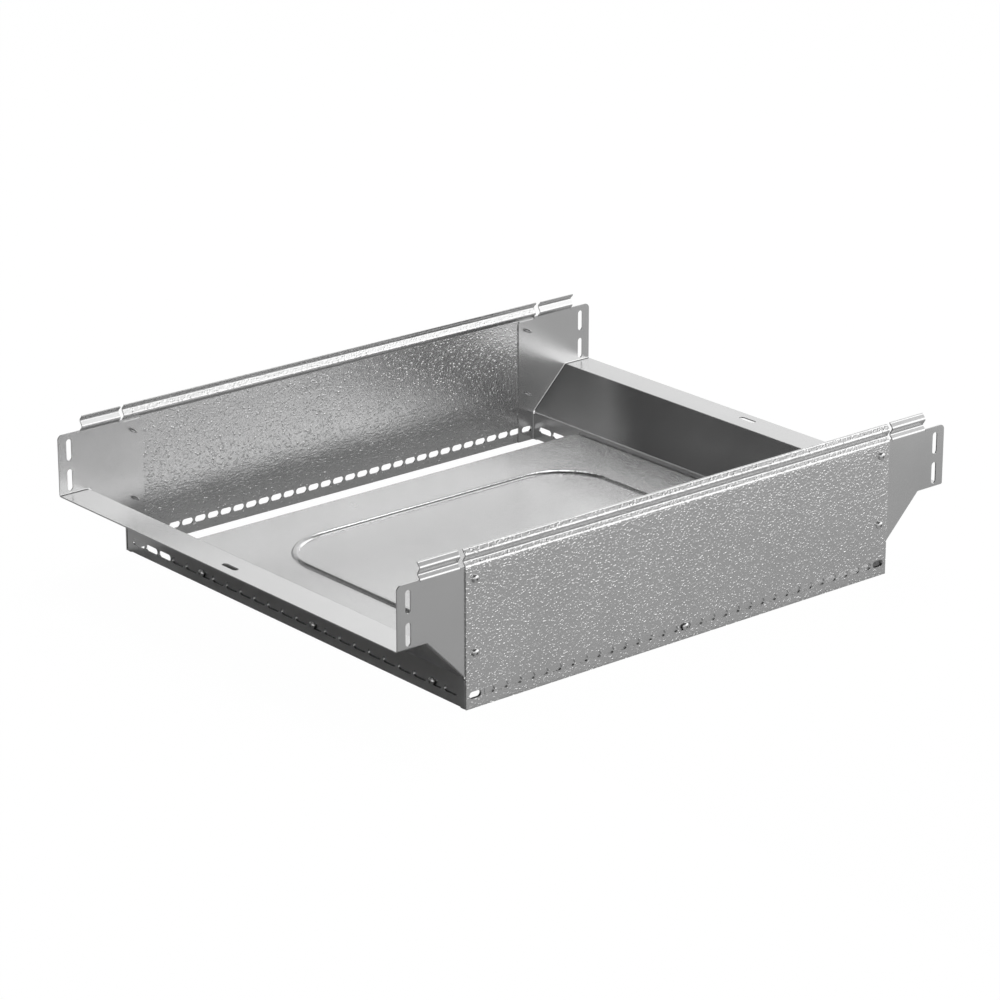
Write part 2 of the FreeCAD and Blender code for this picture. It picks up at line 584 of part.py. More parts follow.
def sweep(body, kind, profile, path, name):
    doc.recompute()
    feature = body.newObject(kind, name)
    feature.Profile = profile
    feature.Spine = (path, [f"Edge{i}" for i in range(1, len(path.Shape.Edges) + 1)])
    return feature


# Tapping screw: pan head with a cross recess, shank and point, standing on its head's seat
def make_screw(label, along, across, up, axis, turn):
    body = new_body(label)
    half = new_sketch(body, "XZ_Plane", f"{label}_half_section")
    add_outline(half, [
        ("0", "Sizes.screw_head_height"),
        ("0", "-Sizes.screw_length"),
        ("Sizes.screw_diameter / 2", "-Sizes.screw_length + Sizes.screw_point"),
        ("Sizes.screw_diameter / 2", "0"),
        ("Sizes.screw_head / 2", "0"),
        ("Sizes.screw_head / 2", "Sizes.screw_head_height"),
    ])
    turned = body.newObject("PartDesign::Revolution", f"{label}_turned")
    turned.Profile = half
    turned.ReferenceAxis = (half, ["V_Axis"])
    turned.Angle = 360
    crown = size["screw_head_height"]

    def at_crown(edge):
        return near(edge.BoundBox.ZMin, crown) and near(edge.BoundBox.XMax, size["screw_head"] / 2)

    doc.recompute()
    bevel = body.newObject("PartDesign::Chamfer", f"{label}_crown")
    bevel.Base = (turned, edge_names(turned.Shape, at_crown))
    bevel.setExpression("Size", "Sizes.screw_head_bevel")
    cross = new_sketch(body, "XY_Plane", f"{label}_cross", lift="Sizes.screw_head_height")
    add_outline(cross, cross_corners("Sizes.recess_span / 2", "Sizes.recess_width / 2"))
    pocket(body, cross, f"{label}_recess", length="Sizes.recess_depth")
    body.Placement = FreeCAD.Placement(V(0, 0, 0), FreeCAD.Rotation(axis, turn))
    body.setExpression("Placement.Base.x", along)
    body.setExpression("Placement.Base.y", across)
    body.setExpression("Placement.Base.z", up)
    return body


def cross_corners(reach, half):
    """Twelve corners of a cross with four equal arms."""
    right = [(reach, f"-{half}"), (reach, half), (half, half)]
    top = [(half, reach), (f"-{half}", reach), (f"-{half}", half)]
    left = [(f"-{reach}", half), (f"-{reach}", f"-{half}"), (f"-{half}", f"-{half}")]
    bottom = [(f"-{half}", f"-{reach}"), (half, f"-{reach}"), (half, f"-{half}")]
    return right + top + left + bottom


TO_FRONT = (V(1, 0, 0), 90)
TO_REAR = (V(1, 0, 0), -90)
TO_LEFT = (V(0, 1, 0), -90)
TO_RIGHT = (V(0, 1, 0), 90)

pieces = [
    make_wall("front_wall", 0),
    make_wall("rear_wall", 180),
    make_end("left_end", 0),
    make_end("right_end", 180),
    make_floor_plate("floor_plate"),
]

# Wall screws: low and high at both ends of each wall
for wall, side, facing in (("front", f"-{WALL_OUT}", TO_FRONT), ("rear", WALL_OUT, TO_REAR)):
    places = [(f"{sign}({RUN_END} - Sizes.screw_end)", height)
              for sign in ("-", "") for height in ("Sizes.screw_low", "Sizes.screw_high")]
    for number, (along, height) in enumerate(places, start=1):
        pieces.append(make_screw(f"{wall}_wall_screw_{number}", along, side, height, *facing))

# Screws through the skirts' slots into the floor plate's side flanges
for end, side, facing in (("left", f"-{RUN_END}", TO_LEFT), ("right", RUN_END, TO_RIGHT)):
    for number, place in enumerate(SKIRT_SCREWS, start=1):
        pieces.append(make_screw(f"{end}_end_screw_{number}", side, place, "Sizes.row_level", *facing))

# Screw through the middle slot of the front wall into the floor plate's front flange
pieces.append(make_screw("floor_plate_screw", "0", f"-{WALL_OUT}", "Sizes.row_level", *TO_FRONT))

doc.recompute()
for item in doc.Objects:
    if "Invalid" in item.State or "Error" in item.State:
        raise RuntimeError(f"{item.Name} failed: {item.State}")
for piece in pieces:
    if piece.Shape.isNull() or not piece.Shape.isValid():
        raise RuntimeError(f"{piece.Label} has no valid shape")

os.makedirs("parts", exist_ok=True)
for piece in pieces:
    piece.Shape.exportStep(f"parts/{piece.Label}.step")
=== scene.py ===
import math

import bpy
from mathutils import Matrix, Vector


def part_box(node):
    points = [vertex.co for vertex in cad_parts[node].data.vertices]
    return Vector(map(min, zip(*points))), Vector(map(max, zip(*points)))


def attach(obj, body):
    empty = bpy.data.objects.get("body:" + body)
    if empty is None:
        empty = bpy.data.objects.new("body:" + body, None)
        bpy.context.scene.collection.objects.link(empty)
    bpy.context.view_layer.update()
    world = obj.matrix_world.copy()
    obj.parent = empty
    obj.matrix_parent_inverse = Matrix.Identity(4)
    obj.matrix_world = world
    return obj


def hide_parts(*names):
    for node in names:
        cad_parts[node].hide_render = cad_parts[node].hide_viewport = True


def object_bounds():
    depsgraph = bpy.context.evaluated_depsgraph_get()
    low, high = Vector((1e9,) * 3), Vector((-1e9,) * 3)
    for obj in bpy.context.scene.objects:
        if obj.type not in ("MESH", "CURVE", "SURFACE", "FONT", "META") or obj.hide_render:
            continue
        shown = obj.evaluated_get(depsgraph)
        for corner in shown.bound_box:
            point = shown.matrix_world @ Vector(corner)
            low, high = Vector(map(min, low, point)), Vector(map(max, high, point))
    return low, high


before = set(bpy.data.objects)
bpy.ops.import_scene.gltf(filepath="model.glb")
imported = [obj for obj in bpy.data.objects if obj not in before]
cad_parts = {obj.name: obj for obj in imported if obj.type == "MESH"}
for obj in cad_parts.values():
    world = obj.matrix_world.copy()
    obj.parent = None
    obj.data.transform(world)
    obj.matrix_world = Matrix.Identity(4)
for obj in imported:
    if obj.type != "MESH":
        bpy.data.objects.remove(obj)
CAD_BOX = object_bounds()

bl_info = {
    "name": "Vertical cable tray tee",
    "version": (1, 0, 0),
    "blender": (4, 5, 0),
    "location": "View3D > Sidebar > Tray tee",
    "description": "Dresses the sheets and screws of a vertical cable tray tee and sets up its studio",
    "category": "Object",
}

MM = 0.001

# The frame's own pieces and places, in metres
SCREWS = sorted(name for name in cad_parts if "_screw" in name)
ENDS = ("left_end", "right_end")
FLOOR = "floor_plate"
LOW, HIGH = (Vector(corner) for corner in CAD_BOX)
MIDDLE = (LOW + HIGH) / 2
HALF_BOX = -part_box("front_wall")[0][0]
LIP_HEIGHT = 18 * MM
LIP_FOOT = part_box("front_wall")[1][2] - LIP_HEIGHT

# Sheets: loose triangles are joined, and edges that turn by more than a fold's facets stay sharp
JOIN_DISTANCE = 0.001 * MM
FOLD_ANGLE = math.radians(24)

# Patterns in the zinc: their widths, and how far the clouds change its grey and its roughness
MOTTLE_SIZE = 12 * MM
CLOUD_SIZE = 70 * MM
CLOUD_TONE = 0.04
CLOUD_ROUGHNESS = 0.05

# The middle of a noise's range, and a narrower band of it that gives sharper spots
NOISE_BAND = (0.3, 0.7)
SPOT_BAND = (0.38, 0.62)

# Walls: how the lumps are stirred out of their rows, the waves between them, and the flatter lip
STIR_SCALE = 0.7
STIR_REACH = 1.2
WAVE_SHARE = 0.5
LIP_FLATNESS = 0.5

# Shares of height: the rear wall's flecks of the front wall's, the ends' grain of the plate's,
# the plate's grain on its left of that on its right, and the right end's grain of the left end's
REAR_FLECKS = 0.8
END_GRAIN = 0.05
PLATE_GRAIN_LEFT = 0.1
END_GRAIN_RIGHT = 0.5

# The lower faces of the slots lie under this level, and are darker by these shares of painted shade
CUT_LEVEL = 18 * MM
WALL_CUT_SHADE = 0.6
SHEET_CUT_SHADE = 0.8

# A 4.2 mm tapping screw with a pan head
SCREW = {
    "Head diameter": 8.8 * MM, "Head height": 3.2 * MM, "Rim height": 0.9 * MM,
    "Thread diameter": 4.2 * MM, "Thread depth": 0.55 * MM, "Thread pitch": 1.4 * MM,
    "Shank length": 13 * MM, "Point length": 5 * MM,
    "Recess span": 4.6 * MM, "Recess width": 1 * MM, "Recess depth": 1.8 * MM,
}
SCREW_EDGE_ANGLE = math.radians(40)
SCREW_GRAIN_SIZE = 0.8 * MM
SCREW_GRAIN_HEIGHT = 0.02 * MM
SCREW_GRAIN_SHADE = 0.85
SCREW_ROUGHNESS = 0.22
SCREW_GRAIN_ROUGHNESS = 0.1
RECESS_FOOT = 0.5
THREAD_SHARPNESS = 1.6
POINTS_AROUND = 33
SPIN_SEED = 7

# The studio's floor: its reach in metres, its levels, and how far it glows rather than is lit:
# in reflections under the tray, by how much more beside the tray's box, and to the camera
FLOOR_REACH = 12.0
FLOOR_WHITE = 1.03
FLOOR_MATTE = 0.8
FLOOR_MATTE_LEFT = 0.95
GLOW_UNDER = 0.3
GLOW_BESIDE = 0.5
GLOW_SEEN = 0.96

# The surroundings in reflections, with the way to their dark corner and its spread in degrees
BACKDROP_WHITE = 1.16
CEILING_TILT = 1.2
DARK_CORNER = (-0.75, 0.62, 0.22)
DARK_CORNER_SPREAD = 50
DARK_CORNER_DEPTH = 0.9

# The lamp and the camera, in metres but for the sensor in millimetres
LAMP_SIZE = 1.5
LAMP_PLACE = (1.3, 1.05, 2.75)
SENSOR_WIDTH = 36
VIEW_LIMIT = 100


# Shader maths
class Value:
    """A number in a node tree, on which plain expressions work."""

    def __init__(self, tree, socket):
        self.tree = tree
        self.socket = socket

    def run(self, operation, *inputs):
        return self.tree.add("ShaderNodeMath", {"operation": operation}, dict(enumerate(inputs)))[0]

    def __add__(self, other):
        return self.run("ADD", self, other)

    def __radd__(self, other):
        return self.run("ADD", other, self)

    def __sub__(self, other):
        return self.run("SUBTRACT", self, other)

    def __rsub__(self, other):
        return self.run("SUBTRACT", other, self)

    def __mul__(self, other):
        return self.run("MULTIPLY", self, other)

    def __rmul__(self, other):
        return self.run("MULTIPLY", other, self)

    def __abs__(self):
        return self.run("ABSOLUTE", self)

    def clamp(self):
        return self.run("MINIMUM", self.run("MAXIMUM", self, 0.0), 1.0)

    def smooth(self, low, high):
        """0 below low, 1 above high and a soft step between them."""
        settings = {"interpolation_type": "SMOOTHSTEP", "data_type": "FLOAT"}
        sockets = {"Value": self, "From Min": low, "From Max": high}
        return self.tree.add("ShaderNodeMapRange", settings, sockets)[0]


class Tree:
    """A node tree in which every node comes from one method."""

    def __init__(self, node_tree):
        self.nodes = node_tree.nodes
        self.links = node_tree.links
        self.nodes.clear()

    def add(self, kind, settings=None, sockets=None):
        """Adds a node: its settings first, then the values or links of its sockets."""
        node = self.nodes.new(kind)
        for name, setting in (settings or {}).items():
            setattr(node, name, setting)
        for name, value in (sockets or {}).items():
            socket = node.inputs[name]
            if isinstance(value, Value):
                self.links.new(value.socket, socket)
            else:
                socket.default_value = value
        return [Value(self, output) for output in node.outputs if output.enabled]


def grey(level):
    """A neutral colour of that level."""
    return (level, level, level, 1.0)


def new_material(name):
    """A material and its empty tree."""
    material = bpy.data.materials.new(name)
    material.use_nodes = True
    return material, Tree(material.node_tree)


def mix_grey(tree, factor, dark, light):
    """The dark grey where the factor is 0 and the light one where it is 1."""
    settings = {"data_type": "RGBA"}
    return tree.add("ShaderNodeMix", settings, {0: factor, 6: grey(dark), 7: grey(light)})[0]


def noise(tree, place, size, detail=2.0, roughness=0.5):
    """Noise whose lumps are about that many metres across, from 0 to 1."""
    sockets = {"Vector": place, "Scale": 1.0 / size, "Detail": detail, "Roughness": roughness}
    return tree.add("ShaderNodeTexNoise", None, sockets)[0]


def lumps(tree, place, size):
    """Uneven lumps about that many metres apart, each as high as chance has it, from 0 to 1."""
    sockets = {"Vector": place, "Scale": STIR_SCALE / size, "Detail": 1.0}
    _, wobble = tree.add("ShaderNodeTexNoise", None, sockets)
    sockets = {0: wobble, 1: (STIR_REACH * size,) * 3, 2: place}
    stirred = tree.add("ShaderNodeVectorMath", {"operation": "MULTIPLY_ADD"}, sockets)[0]
    sockets = {"Vector": stirred, "Scale": 1.0 / size}
    distance, chance, _ = tree.add("ShaderNodeTexVoronoi", {"feature": "F1"}, sockets)
    return (1.0 - distance.smooth(0.0, 0.65)) * chance.smooth(0.1, 0.9)


def split(tree, vector):
    """The three numbers of a vector."""
    return tree.add("ShaderNodeSeparateXYZ", None, {"Vector": vector})


def object_place(tree):
    """Place on a piece, in Object coordinates."""
    _, _, _, place, *_ = tree.add("ShaderNodeTexCoord")
    return place


def shaded_slot_faces(tree, level):
    """1 on the lower faces of the slots along a sheet's foot, where shade is painted on the cut faces.
    """
    _, _, _, true_normal, *_ = tree.add("ShaderNodeNewGeometry")
    upward = split(tree, true_normal)[2]
    return upward.smooth(0.4, 0.6) * (1.0 - level.smooth(CUT_LEVEL, CUT_LEVEL + 2 * MM))


def raised(tree, height, distance, below=None):
    """Normal of a surface that a height from 0 to 1 raises by up to that many metres."""
    sockets = {"Strength": 1.0, "Distance": distance, "Height": height}
    if below is not None:
        sockets["Normal"] = below
    return tree.add("ShaderNodeBump", None, sockets)[0]


def finish_metal(tree, colour, roughness, normal):
    """Ends a material's tree in bare metal."""
    sockets = {"Base Color": colour, "Metallic": 1.0, "Roughness": roughness, "Normal": normal}
    shader = tree.add("ShaderNodeBsdfPrincipled", None, sockets)[0]
    tree.add("ShaderNodeOutputMaterial", None, {"Surface": shader})


def finish_zinc(tree, look, place, normal, speckle, lit):
    """Ends a sheet's tree in faintly clouded zinc, toned by a speckle and by its light."""
    cloud = noise(tree, place, CLOUD_SIZE, detail=3.0)
    tone = (1.0 - CLOUD_TONE + CLOUD_TONE * cloud.smooth(*NOISE_BAND)) * speckle * lit
    colour = mix_grey(tree, tone, 0.0, look.zinc)
    finish_metal(tree, colour, look.roughness + CLOUD_ROUGHNESS * (cloud - 0.5), normal)


def wall_zinc(look, name, fleck_height):
    """Zinc full of small lumps that sparkle, flatter on the lip."""
    material, tree = new_material(name)
    place = object_place(tree)
    _, _, level = split(tree, place)
    flecks = lumps(tree, place, look.fleck_size)
    waves = noise(tree, place, look.fleck_size, detail=1.0)
    on_side = 1.0 - LIP_FLATNESS * level.smooth(LIP_FOOT - 3 * MM, LIP_FOOT)
    normal = raised(tree, (flecks + WAVE_SHARE * waves) * on_side, fleck_height)
    # Painted shade on the lower faces of the slots
    finish_zinc(tree, look, place, normal, 1.0, 1.0 - WALL_CUT_SHADE * shaded_slot_faces(tree, level))
    return material


def sheet_zinc(look, name, grain_height, grain_tone, grain_mask):
    """Smooth zinc with a faint mottle, and a fine grain where the mask says."""
    material, tree = new_material(name)
    place = object_place(tree)
    across, _, level = split(tree, place)
    mottle = noise(tree, place, MOTTLE_SIZE)
    grain = noise(tree, place, look.grain_size, detail=3.0, roughness=0.7)
    masked = grain_mask(across)
    grained = raised(tree, grain * masked, grain_height)
    normal = raised(tree, mottle, look.mottle_height, below=grained)
    speckle = 1.0 + grain_tone * (0.5 - grain.smooth(*SPOT_BAND)) * masked
    # Painted shade on the lower faces of the slots
    finish_zinc(tree, look, place, normal, speckle, 1.0 - SHEET_CUT_SHADE * shaded_slot_faces(tree, level))
    return material


def plate_grain(across):
    """The floor plate is grainy beside the right slope and smoother to the left."""
    return PLATE_GRAIN_LEFT + (1.0 - PLATE_GRAIN_LEFT) * across.smooth(100 * MM, 240 * MM)


def end_grain(across):
    """The ends have a trace of grain, and the right one less of it than the left one."""
    return 1.0 - (1.0 - END_GRAIN_RIGHT) * across.smooth(-100 * MM, 100 * MM)


def screw_zinc(look):
    """Bright zinc plating on the tapping screws."""
    material, tree = new_material("screw_zinc")
    place = object_place(tree)
    grain = noise(tree, place, SCREW_GRAIN_SIZE)
    normal = raised(tree, grain, SCREW_GRAIN_HEIGHT)
    dark = look.screw_tone * SCREW_GRAIN_SHADE
    colour = mix_grey(tree, grain.smooth(*NOISE_BAND), dark, look.screw_tone)
    roughness = SCREW_ROUGHNESS + SCREW_GRAIN_ROUGHNESS * (grain - 0.5)
    finish_metal(tree, colour, roughness, normal)
    return material


# Geometry Nodes
class Graph:
    """A geometry node tree with named inputs, in which every node comes from one method."""

    def __init__(self, name, inputs):
        self.group = bpy.data.node_groups.new(name, "GeometryNodeTree")
        self.group.interface.new_socket("Geometry", in_out="INPUT", socket_type="NodeSocketGeometry")
        self.group.interface.new_socket("Geometry", in_out="OUTPUT", socket_type="NodeSocketGeometry")
        self.identifiers = {}
        for label, kind in inputs.items():
            socket = self.group.interface.new_socket(label, in_out="INPUT", socket_type=kind)
            self.identifiers[label] = socket.identifier
        self.source = self.group.nodes.new("NodeGroupInput")

    def given(self, label):
        return self.source.outputs[label]

    def add(self, kind, settings=None, sockets=None):
        """Adds a node: its settings first, then the values or links of its sockets."""
        node = self.group.nodes.new(kind)
        for name, setting in (settings or {}).items():
            setattr(node, name, setting)
        for name, value in (sockets or {}).items():
            targets = value if isinstance(value, list) else [value]
            for target in targets:
                if isinstance(target, bpy.types.NodeSocket):
                    self.group.links.new(target, node.inputs[name])
                else:
                    node.inputs[name].default_value = target
        return [output for output in node.outputs if output.enabled]

    def math(self, operation, first, second=0.0):
        return self.add("ShaderNodeMath", {"operation": operation}, {0: first, 1: second})[0]

    def plus(self, first, second):
        return self.math("ADD", first, second)

    def minus(self, first, *others):
        for other in others:
            first = self.math("SUBTRACT", first, other)
        return first

    def times(self, first, second):
        return self.math("MULTIPLY", first, second)

    def end(self, geometry):
        result = self.group.nodes.new("NodeGroupOutput")
        self.group.links.new(geometry, result.inputs[0])

    def put_on(self, item, values):
        """Adds the tree to an object as a modifier, its inputs set by their identifiers."""
        modifier = item.modifiers.new(self.group.name, "NODES")
        modifier.node_group = self.group
        for label, value in values.items():
            modifier[self.identifiers[label]] = value
        return modifier


def shade_by_angle(graph, geometry, limit):
    """Shades faces round, but leaves edges sharp that turn by more than the limit."""
    angle = graph.add("GeometryNodeInputMeshEdgeAngle")[0]
    sharp = graph.add("FunctionNodeCompare", {"operation": "GREATER_THAN"}, {0: angle, 1: limit})[0]
    smooth = graph.add("GeometryNodeSetShadeSmooth", {"domain": "FACE"},
                       {"Geometry": geometry, "Shade Smooth": True})[0]
    return graph.add("GeometryNodeSetShadeSmooth", {"domain": "EDGE"},
                     {"Geometry": smooth, "Selection": sharp, "Shade Smooth": False})[0]


def fold_smoother():
    """Joins the loose triangles of a sheet and shades its folds round and its cut edges sharp."""
    graph = Graph("smooth_folds", {
        "Join distance": "NodeSocketFloat", "Sharp angle": "NodeSocketFloat"})
    joined = graph.add("GeometryNodeMergeByDistance", None, {
        "Geometry": graph.given("Geometry"), "Distance": graph.given("Join distance")})[0]
    graph.end(shade_by_angle(graph, joined, graph.given("Sharp angle")))
    return graph


def lathe(graph, steps):
    """Grid to be turned into a solid: its mesh, each point's ring number and its share of the turn."""
    mesh = graph.add("GeometryNodeMeshGrid", None, {
        "Size X": 1.0, "Size Y": 1.0, "Vertices X": steps + 1, "Vertices Y": POINTS_AROUND})[0]
    place = graph.add("GeometryNodeInputPosition")[0]
    along, around, _ = graph.add("ShaderNodeSeparateXYZ", None, {"Vector": place})
    return mesh, graph.times(graph.plus(along, 0.5), float(steps)), graph.plus(around, 0.5)


def turned_screw(graph):
    """Solid of one screw, seat at the origin and head up: dome, rim, seat, threaded shank and point."""
    crown, rim, seat, shank, point = 12, 2, 2, 64, 16
    shank_start = crown + rim + seat
    run_in = 3
    mesh, ring, turn = lathe(graph, shank_start + shank + point)

    def stretch(start, length):
        """0 before the stretch of rings, 1 after it."""
        return graph.add("ShaderNodeMapRange", None, {
            "Value": ring, "From Min": float(start), "From Max": float(start + length)})[0]

    on_crown = stretch(0, crown)
    on_rim = stretch(crown, rim)
    on_seat = stretch(crown + rim, seat)
    on_shank = stretch(shank_start, shank)
    on_point = stretch(shank_start + shank, point)

    # Level of each ring, down from the top of the head
    lean = graph.times(on_crown, math.pi / 2)
    dome = graph.minus(graph.given("Head height"), graph.given("Rim height"))
    fall = graph.times(dome, graph.minus(1.0, graph.math("COSINE", lean)))
    straight = graph.minus(graph.given("Shank length"), graph.given("Point length"))
    level = graph.minus(
        graph.given("Head height"), fall,
        graph.times(on_rim, graph.given("Rim height")),
        graph.times(on_shank, straight),
        graph.times(on_point, graph.given("Point length")))

    # Radius of each ring, with the thread's ridge on the core
    lead = graph.plus(graph.math("DIVIDE", level, graph.given("Thread pitch")), turn)
    swing = graph.minus(graph.times(graph.math("FRACT", lead), 2.0), 1.0)
    ridge = graph.math("POWER", graph.minus(1.0, graph.math("ABSOLUTE", swing)), THREAD_SHARPNESS)
    threaded = graph.times(stretch(shank_start + run_in, run_in), graph.minus(1.0, on_point))
    head = graph.times(graph.given("Head diameter"), 0.5)
    thread = graph.times(graph.given("Thread diameter"), 0.5)
    core = graph.minus(thread, graph.given("Thread depth"))
    bare = graph.minus(
        graph.times(head, graph.math("SINE", lean)),
        graph.times(on_seat, graph.minus(head, core)),
        graph.times(on_point, core))
    radius = graph.plus(bare, graph.times(graph.times(ridge, threaded), graph.given("Thread depth")))

    angle = graph.times(turn, 2 * math.pi)
    place = graph.add("ShaderNodeCombineXYZ", None, {
        "X": graph.times(radius, graph.math("COSINE", angle)),
        "Y": graph.times(radius, graph.math("SINE", angle)), "Z": level})[0]
    turned = graph.add("GeometryNodeSetPosition", None, {"Geometry": mesh, "Position": place})[0]
    return graph.add("GeometryNodeMergeByDistance", None,
                     {"Geometry": turned, "Distance": JOIN_DISTANCE})[0]


def recess_cutter(graph):
    """Cross of two bars half sunk in the head's top, which narrow downwards to their foot."""
    deep = graph.times(graph.given("Recess depth"), 2.0)
    bars = []
    for first, second in (("Recess span", "Recess width"), ("Recess width", "Recess span")):
        size = graph.add("ShaderNodeCombineXYZ", None,
                         {"X": graph.given(first), "Y": graph.given(second), "Z": deep})[0]
        bars.append(graph.add("GeometryNodeMeshCube", None, {"Size": size})[0])
    cross = graph.add("GeometryNodeJoinGeometry", None, {"Geometry": bars})[0]
    corner = graph.add("GeometryNodeInputPosition")[0]
    side, other, height = graph.add("ShaderNodeSeparateXYZ", None, {"Vector": corner})
    share = graph.plus(
        graph.times(graph.math("DIVIDE", height, deep), 1.0 - RECESS_FOOT), (1.0 + RECESS_FOOT) / 2)
    narrow = graph.add("ShaderNodeCombineXYZ", None, {
        "X": graph.times(side, share), "Y": graph.times(other, share),
        "Z": graph.plus(height, graph.given("Head height"))})[0]
    return graph.add("GeometryNodeSetPosition", None, {"Geometry": cross, "Position": narrow})[0]


def tapping_screws():
    """Tapping screws on their seats: domed head with a cross recess, thread and point."""
    sizes = {label: "NodeSocketFloat" for label in SCREW}
    graph = Graph("tapping_screw", {**sizes, "Material": "NodeSocketMaterial"})
    cut = graph.add("GeometryNodeMeshBoolean", {"operation": "DIFFERENCE", "solver": "EXACT"}, {
        "Mesh 1": turned_screw(graph), "Mesh 2": recess_cutter(graph), "Self Intersection": True})[0]
    screw = shade_by_angle(graph, cut, SCREW_EDGE_ANGLE)

    outward = graph.add("GeometryNodeInputNamedAttribute", {"data_type": "FLOAT_VECTOR"},
                        {"Name": "outward"})[0]
    spin = graph.add("FunctionNodeRandomValue", {"data_type": "FLOAT"},
                     {"Min": 0.0, "Max": math.pi / 2, "Seed": SPIN_SEED})[0]
    twist = graph.add("FunctionNodeAxisAngleToRotation", None,
                      {"Axis": (0.0, 0.0, 1.0), "Angle": spin})[0]
    aimed = graph.add("FunctionNodeAlignRotationToVector", {"axis": "Z"},
                      {"Rotation": twist, "Vector": outward})[0]
    placed = graph.add("GeometryNodeInstanceOnPoints", None,
                       {"Points": graph.given("Geometry"), "Instance": screw, "Rotation": aimed})[0]
    real = graph.add("GeometryNodeRealizeInstances", None, {"Geometry": placed})[0]
    graph.end(graph.add("GeometryNodeSetMaterial", None,
                        {"Geometry": real, "Material": graph.given("Material")})[0])
    return graph


def screw_seat(name):
    """Middle of a screw's seat on the sheet, and the way its head looks."""
    low, high = (Vector(corner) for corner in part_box(name))
    reach = high - low
    axis = max(range(3), key=lambda i: reach[i])
    middle = (low + high) / 2
    outward = Vector((0, 0, 0))
    outward[axis] = math.copysign(1.0, middle[axis])
    head_end = high[axis] if middle[axis] > 0 else low[axis]
    middle[axis] = head_end - outward[axis] * SCREW["Head height"]
    return middle, outward


def make_screws(material):
    """All tapping screws as one mesh, each on its seat."""
    seats = [screw_seat(name) for name in SCREWS]
    points = bpy.data.meshes.new("tapping_screws")
    points.from_pydata([place for place, _ in seats], [], [])
    ways = points.attributes.new("outward", "FLOAT_VECTOR", "POINT")
    ways.data.foreach_set("vector", [value for _, outward in seats for value in outward])
    item = bpy.data.objects.new("tapping_screws", points)
    bpy.context.scene.collection.objects.link(item)
    modifier = tapping_screws().put_on(item, {**SCREW, "Material": material})
    solid = item.evaluated_get(bpy.context.evaluated_depsgraph_get())
    mesh = bpy.data.meshes.new_from_object(solid)
    item.modifiers.remove(modifier)
    item.data = mesh
    return item


def dress(name, material, smoother):
    """Gives a CAD node its material, and round shading on its folds."""
    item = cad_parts[name]
    item.data.materials.clear()
    item.data.materials.append(material)
    smoother.put_on(item, {"Join distance": JOIN_DISTANCE, "Sharp angle": FOLD_ANGLE})


class SheetLook(bpy.types.PropertyGroup):
    """Greys, dullness and patterns of the zinc"""
    zinc: bpy.props.FloatProperty(
        name="Zinc tone", description="Grey of the zinc", default=0.62, min=0, max=1)
    roughness: bpy.props.FloatProperty(
        name="Roughness", description="How dull the zinc is", default=0.26, min=0, max=1)
    fleck_size: bpy.props.FloatProperty(
        name="Fleck size", description="Width of a lump in the walls' zinc",
        default=0.0027, unit="LENGTH")
    fleck_height: bpy.props.FloatProperty(
        name="Fleck height", description="Height of a lump in the walls' zinc",
        default=0.00056, unit="LENGTH")
    grain_size: bpy.props.FloatProperty(
        name="Grain size", description="Width of a grain in the plain sheets",
        default=0.0032, unit="LENGTH")
    grain_height: bpy.props.FloatProperty(
        name="Grain height", description="Height of the floor plate's grain",
        default=0.0008, unit="LENGTH")
    grain_tone: bpy.props.FloatProperty(
        name="Grain tone", description="How far the grain varies the plate's grey",
        default=0.4, min=0, max=1)
    mottle_height: bpy.props.FloatProperty(
        name="Mottle height", description="Height of the plain sheets' mottle",
        default=0.00008, unit="LENGTH")
    screw_tone: bpy.props.FloatProperty(
        name="Screw tone", description="Grey of the screws", default=0.6, min=0, max=1)


class StudioLook(bpy.types.PropertyGroup):
    """Camera, lamp and surroundings"""
    lens: bpy.props.FloatProperty(
        name="Lens", description="Focal length in millimetres", default=138.2)
    eye: bpy.props.FloatVectorProperty(
        name="Eye", description="Where the camera stands",
        default=(-2.5728, -3.0607, 1.5246), subtype="TRANSLATION")
    turn: bpy.props.FloatProperty(
        name="Turn", description="Camera's turn about the upright",
        default=math.radians(-40.009), subtype="ANGLE")
    dip: bpy.props.FloatProperty(
        name="Dip", description="How far the camera looks down",
        default=math.radians(19.953), subtype="ANGLE")
    lamp_power: bpy.props.FloatProperty(
        name="Ceiling lamp", description="Power of the ceiling lamp", default=22.0)
    ceiling: bpy.props.FloatProperty(
        name="Ceiling", description="Level of the ceiling in reflections", default=0.1)
    floor_level: bpy.props.FloatProperty(
        name="Floor", description="Level of the near floor in reflections", default=0.55)
    soft_box: bpy.props.FloatProperty(
        name="Soft box", description="What the soft box on the right adds", default=0.9)


class TRAYTEE_OT_walls(bpy.types.Operator):
    """Give the front and rear walls their coarse zinc"""
    bl_idname = "tray_tee.walls"
    bl_label = "Dress walls"

    def execute(self, context):
        look = context.scene.tray_tee_sheets
        smoother = fold_smoother()
        dress("front_wall", wall_zinc(look, "front_wall_zinc", look.fleck_height), smoother)
        dress("rear_wall", wall_zinc(look, "rear_wall_zinc", look.fleck_height * REAR_FLECKS), smoother)
        return {"FINISHED"}


class TRAYTEE_OT_plain_sheets(bpy.types.Operator):
    """Give the two ends and the floor plate their smooth zinc"""
    bl_idname = "tray_tee.plain_sheets"
    bl_label = "Dress ends and floor plate"

    def execute(self, context):
        look = context.scene.tray_tee_sheets
        smoother = fold_smoother()
        end = sheet_zinc(look, "end_zinc", look.grain_height * END_GRAIN, 0.0, end_grain)
        plate = sheet_zinc(look, "plate_zinc", look.grain_height, look.grain_tone, plate_grain)
        for name in ENDS:
            dress(name, end, smoother)
        dress(FLOOR, plate, smoother)
        return {"FINISHED"}


